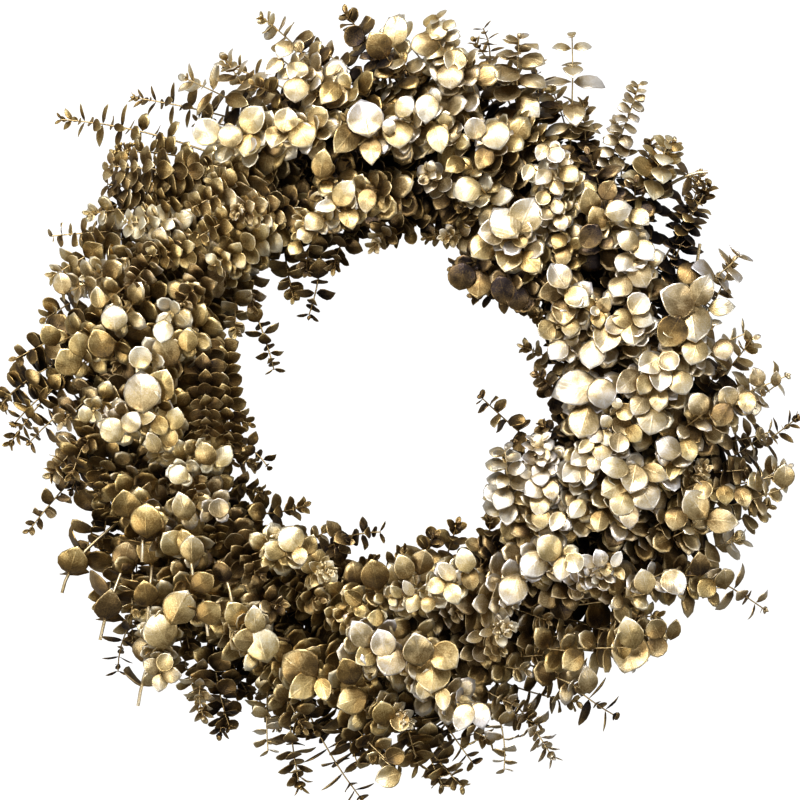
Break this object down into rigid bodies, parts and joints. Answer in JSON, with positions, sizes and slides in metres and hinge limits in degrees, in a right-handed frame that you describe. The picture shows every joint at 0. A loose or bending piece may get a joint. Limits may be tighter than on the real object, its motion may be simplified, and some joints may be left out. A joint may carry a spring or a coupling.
{
  "type": "eucalyptus wreath",
  "caption": "Round wreath of metallic-painted round-leaved eucalyptus sprigs flowing round a wire frame, for hanging on a door or wall or laying on a table.",
  "frame": {"origin": "centre of the bounding box's underside, on the plane that the frame's braces rest on", "axes": "+Z out of the wreath's front face, +Y towards its top as it hangs, +X to the right as seen from the front"},
  "size_m": [0.6528, 0.6354, 0.1352],
  "materials": {
    "leaf_pale": "pale champagne metallic spray paint, satin",
    "leaf_gold": "gold metallic spray paint, satin",
    "leaf_bronze": "bronze brown metallic spray paint, satin",
    "frame_wire": "dark green painted wire",
    "binding_wire": "thin annealed wire"
  },
  "bodies": {
    "root": {"binding_wire": "binding_wire", "spray_in_00": "leaf_pale", "spray_in_01": "leaf_pale", "spray_in_02": "leaf_pale", "spray_in_03": "leaf_pale", "spray_in_04": "leaf_pale", "spray_in_05": "leaf_pale", "spray_in_06": "leaf_pale", "spray_in_07": "leaf_gold", "spray_in_08": "leaf_gold", "spray_in_09": "leaf_gold", "spray_in_10": "leaf_bronze", "spray_in_11": "leaf_bronze", "spray_in_12": "leaf_bronze", "spray_in_13": "leaf_bronze", "spray_in_14": "leaf_bronze", "spray_in_15": "leaf_bronze", "spray_in_16": "leaf_bronze", "spray_in_17": "leaf_bronze", "spray_in_18": "leaf_bronze", "spray_in_19": "leaf_bronze", "spray_in_20": "leaf_gold", "spray_in_21": "leaf_gold", "spray_in_22": "leaf_gold", "spray_in_23": "leaf_pale", "spray_in_24": "leaf_pale", "spray_in_25": "leaf_pale", "spray_in_26": "leaf_pale", "spray_out_00": "leaf_pale", "spray_out_01": "leaf_pale", "spray_out_02": "leaf_pale", "spray_out_03": "leaf_pale", "spray_out_04": "leaf_pale", "spray_out_05": "leaf_pale", "spray_out_06": "leaf_pale", "spray_out_07": "leaf_gold", "spray_out_08": "leaf_gold", "spray_out_09": "leaf_gold", "spray_out_10": "leaf_bronze", "spray_out_11": "leaf_bronze", "spray_out_12": "leaf_bronze", "spray_out_13": "leaf_bronze", "spray_out_14": "leaf_bronze", "spray_out_15": "leaf_bronze", "spray_out_16": "leaf_bronze", "spray_out_17": "leaf_bronze", "spray_out_18": "leaf_bronze", "spray_out_19": "leaf_bronze", "spray_out_20": "leaf_gold", "spray_out_21": "leaf_gold", "spray_out_22": "leaf_gold", "spray_out_23": "leaf_pale", "spray_out_24": "leaf_pale", "spray_out_25": "leaf_pale", "spray_out_26": "leaf_pale", "wreath_frame": "frame_wire"}
  },
  "joints": []
}
